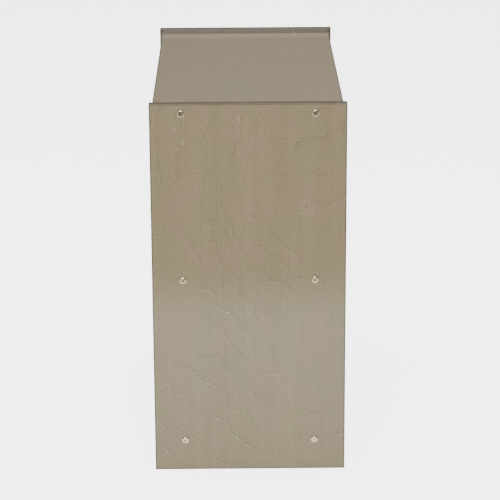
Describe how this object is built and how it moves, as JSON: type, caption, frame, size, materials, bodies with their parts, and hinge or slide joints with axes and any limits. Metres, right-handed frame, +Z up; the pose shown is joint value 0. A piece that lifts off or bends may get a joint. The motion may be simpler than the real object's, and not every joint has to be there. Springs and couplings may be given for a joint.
{
  "type": "book drop box",
  "caption": "Floor-standing plywood library book return with a flapped slot in the upper front, an inner chute and a locking access door below.",
  "frame": {"origin": "middle of the footprint on the floor", "axes": "+Z up, -Y towards the front with the book slot, +X towards the end that the door is hinged on"},
  "size_m": [0.766, 0.4, 0.795],
  "materials": {
    "stained_plywood": "grey-brown stain under satin lacquer on rotary-cut birch plywood",
    "beech": "raw turned beech",
    "nickel_plate": "bright nickel plate",
    "zinc_steel": "zinc-plated steel",
    "satin_steel": "brushed stainless steel",
    "flap_plastic": "fine-grained black plastic sheet",
    "black_plastic": "moulded black plastic",
    "magnet_ferrite": "ground ferrite",
    "mat_rubber": "ribbed dense rubber",
    "bumper_rubber": "soft grey rubber"
  },
  "bodies": {
    "carcase": {"side_panel_right": "stained_plywood", "side_panel_left": "stained_plywood", "top_panel": "stained_plywood", "mid_shelf": "stained_plywood", "bottom_panel": "stained_plywood", "back_panel": "stained_plywood", "front_fascia": "stained_plywood", "toe_kick_front": "stained_plywood", "toe_rail_rear": "stained_plywood", "chute_board": "stained_plywood", "chute_cleat_right": "stained_plywood", "chute_cleat_left": "stained_plywood", "flap_batten": "stained_plywood", "connector_bolts": "nickel_plate", "barrel_nuts": "zinc_steel", "locating_dowels": "beech", "back_panel_screws": "zinc_steel", "toe_rail_screws": "zinc_steel", "angle_brackets": "zinc_steel", "angle_bracket_screws": "zinc_steel", "back_bracket_screws": "zinc_steel", "slot_trim": "satin_steel", "slot_trim_screws": "satin_steel", "chute_board_screws": "zinc_steel", "chute_cleat_screws": "zinc_steel", "landing_mat": "mat_rubber", "catch_housing": "black_plastic", "catch_magnet": "magnet_ferrite", "catch_screws": "zinc_steel", "lock_strike": "zinc_steel", "lock_strike_screws": "zinc_steel", "flap_bumpers": "bumper_rubber", "flap_hinge_fixed_leaves": "nickel_plate", "flap_hinge_fixed_screws": "nickel_plate", "flap_hinge_pins": "nickel_plate", "door_hinge_fixed_leaves": "nickel_plate", "door_hinge_fixed_screws": "nickel_plate", "door_hinge_pins": "nickel_plate"},
    "flap": {"flap_panel": "flap_plastic", "flap_hinge_moving_leaves": "nickel_plate", "flap_hinge_moving_screws": "nickel_plate"},
    "door": {"access_door": "stained_plywood", "door_hinge_moving_leaves": "nickel_plate", "door_hinge_moving_screws": "nickel_plate", "door_pull": "satin_steel", "door_pull_screws": "satin_steel", "catch_strike_plate": "zinc_steel", "catch_strike_screws": "zinc_steel", "lock_body": "nickel_plate", "lock_nut": "zinc_steel"},
    "lock": {"lock_plug": "nickel_plate", "lock_cam": "zinc_steel", "cam_screw": "zinc_steel"}
  },
  "joints": [
    {"name": "flap_swing", "type": "hinge", "parent": "carcase", "child": "flap", "pos_m": [0, -0.1637, 0.714], "axis": [1, 0, 0], "range_deg": [0, 75]},
    {"name": "door_swing", "type": "hinge", "parent": "carcase", "child": "door", "pos_m": [0.3587, -0.1963, 0.25], "axis": [0, 0, 1], "range_deg": [0, 115]},
    {"name": "lock_turn", "type": "hinge", "parent": "door", "child": "lock", "pos_m": [-0.3185, -0.18, 0.345], "axis": [0, 1, 0], "range_deg": [0, 90]}
  ]
}
